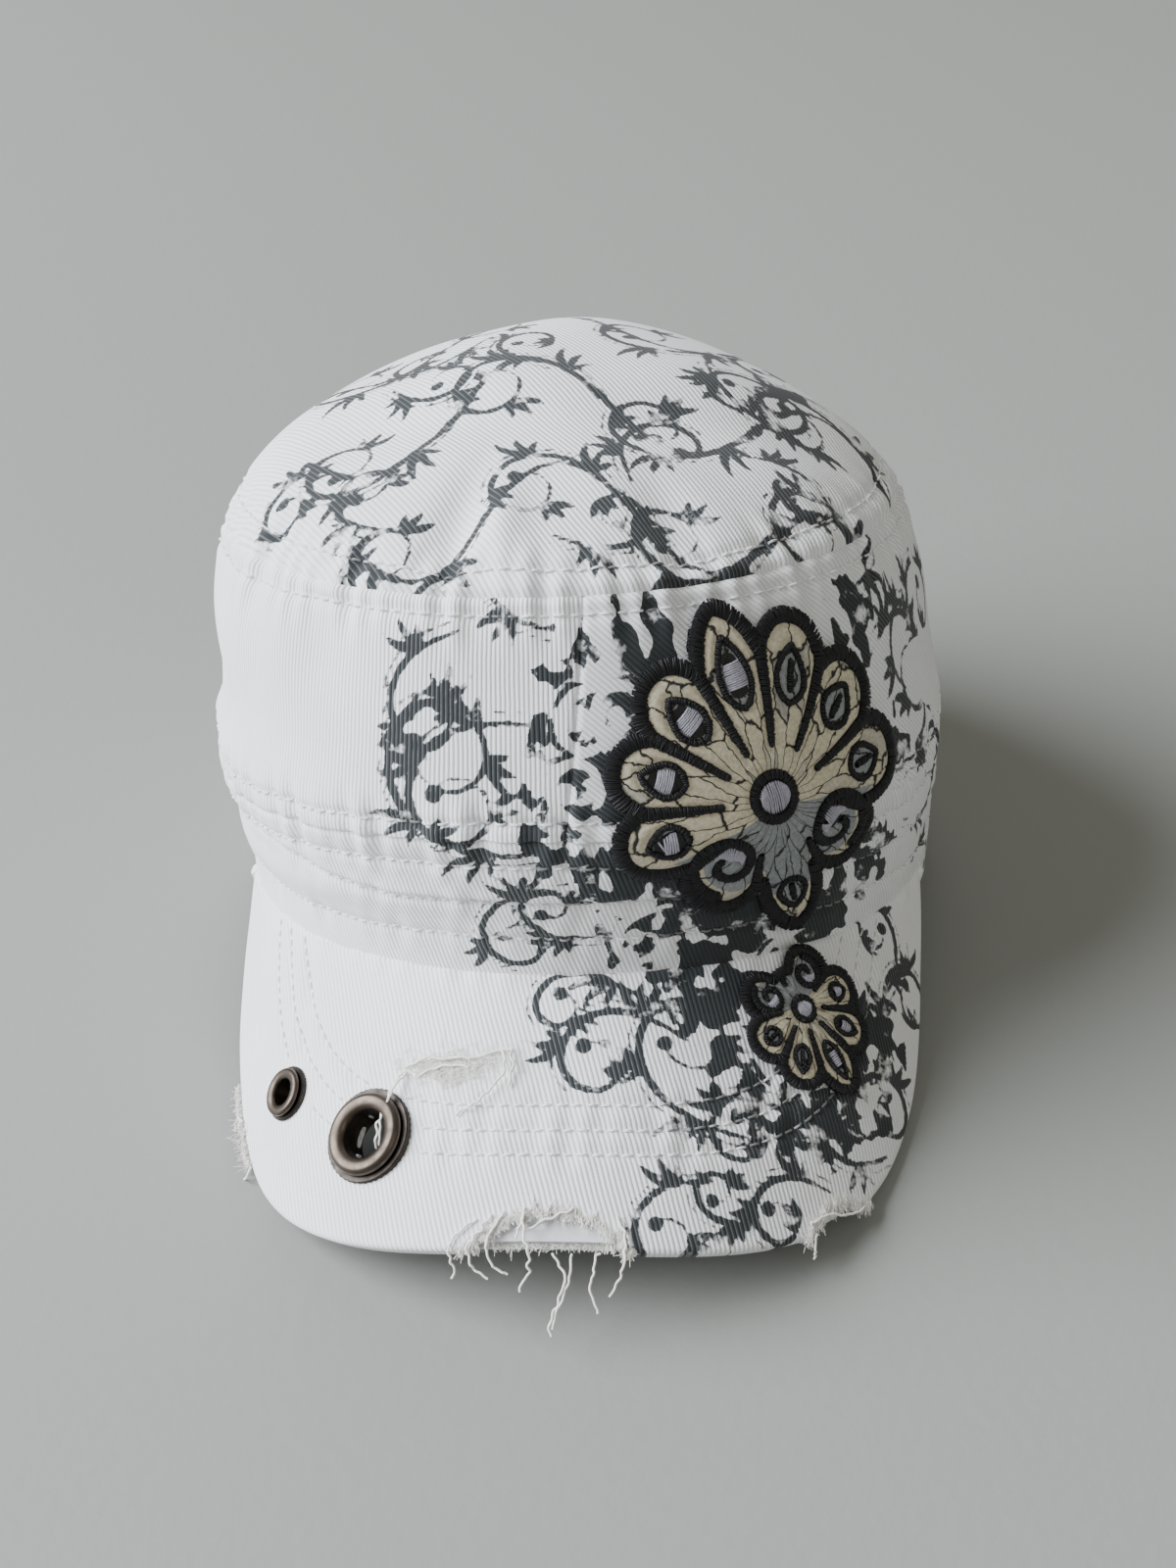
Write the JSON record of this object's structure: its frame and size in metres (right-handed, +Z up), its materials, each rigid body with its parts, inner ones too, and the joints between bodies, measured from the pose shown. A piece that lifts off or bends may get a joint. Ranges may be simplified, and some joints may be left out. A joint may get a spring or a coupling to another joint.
{
  "type": "cadet cap",
  "caption": "White cotton twill cadet cap with a soft domed crown, sewn band, arched torn peak, metal eyelets and a sewn lobed ornament.",
  "frame": {"origin": "on the table, under the middle of the cap's bounding box", "axes": "+Z up, -Y towards the peak, +X towards the wearer's left"},
  "size_m": [0.1788, 0.2472, 0.1457],
  "materials": {
    "twill": "washed white cotton twill with charcoal screen print, matte",
    "board": "smooth off-white stiffener sheet, matte",
    "eyelet_metal": "rolled brass with a dark antique plating, satin",
    "applique": "cream cloth with black and silver satin stitching"
  },
  "bodies": {
    "root": {"crown_top": "twill", "crown_front_left": "twill", "crown_front_right": "twill", "crown_back": "twill", "band": "twill", "peak_top": "twill", "peak_board": "board", "peak_under": "twill", "eyelet_large": "eyelet_metal", "eyelet_large_washer": "eyelet_metal", "eyelet_small": "eyelet_metal", "eyelet_small_washer": "eyelet_metal", "applique_crown": "applique", "applique_peak": "applique"}
  },
  "joints": []
}
